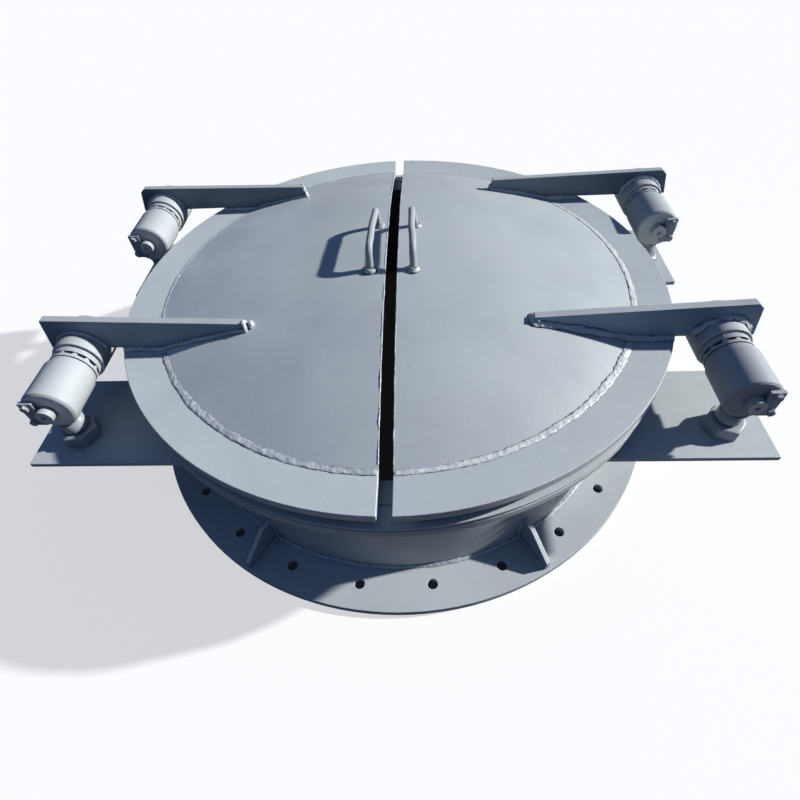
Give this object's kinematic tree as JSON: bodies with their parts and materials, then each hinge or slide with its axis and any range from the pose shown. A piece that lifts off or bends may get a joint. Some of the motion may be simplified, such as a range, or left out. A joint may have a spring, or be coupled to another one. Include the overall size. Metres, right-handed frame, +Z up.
{
  "type": "double flap gate",
  "caption": "Round duct gate: bolted neck with a seat flange and two domed half-round flaps, each swinging on a pair of hinge units carried on studs.",
  "frame": {"origin": "centre of the base flange's underside", "axes": "+X across the slit towards the right flap, +Y along the slit away from the viewer, +Z up along the duct"},
  "size_m": [1.376, 1.2, 0.467],
  "materials": {
    "painted_steel": "satin light blue-grey paint",
    "shaft_steel": "painted, rubbed at the ends",
    "fastener_steel": "painted thread and nuts"
  },
  "bodies": {
    "frame": {"base_flange": "painted_steel", "neck": "painted_steel", "seat_flange": "painted_steel", "gasket": "painted_steel", "seat_ring": "painted_steel", "gussets": "painted_steel", "side_plate_fl": "painted_steel", "side_plate_fr": "painted_steel", "side_plate_rl": "painted_steel", "side_plate_rr": "painted_steel", "stud_fl": "fastener_steel", "stud_fr": "fastener_steel", "stud_rl": "fastener_steel", "stud_rr": "fastener_steel", "hex_nuts": "fastener_steel", "housing_fl": "painted_steel", "housing_fr": "painted_steel", "housing_rl": "painted_steel", "housing_rr": "painted_steel", "shaft_fl": "shaft_steel", "shaft_fr": "shaft_steel", "shaft_rl": "shaft_steel", "shaft_rr": "shaft_steel", "lock_rings_fl": "painted_steel", "lock_rings_fr": "painted_steel", "lock_rings_rl": "painted_steel", "lock_rings_rr": "painted_steel", "keeper_plates": "shaft_steel"},
    "left_flap": {"flap_ring_left": "painted_steel", "dome_left": "painted_steel", "seal_ring_left": "painted_steel", "arm_fl": "painted_steel", "arm_rl": "painted_steel", "boss_fl": "painted_steel", "boss_rl": "painted_steel", "handle_left": "painted_steel"},
    "right_flap": {"flap_ring_right": "painted_steel", "dome_right": "painted_steel", "seal_ring_right": "painted_steel", "arm_fr": "painted_steel", "arm_rr": "painted_steel", "boss_fr": "painted_steel", "boss_rr": "painted_steel", "handle_right": "painted_steel"}
  },
  "joints": [
    {"name": "left_flap_hinge", "type": "hinge", "parent": "frame", "child": "left_flap", "pos_m": [-0.608, 0, 0.336], "axis": [0, -1, 0], "range_deg": [0, 90]},
    {"name": "right_flap_hinge", "type": "hinge", "parent": "frame", "child": "right_flap", "pos_m": [0.608, 0, 0.336], "axis": [0, 1, 0], "range_deg": [0, 90]}
  ]
}
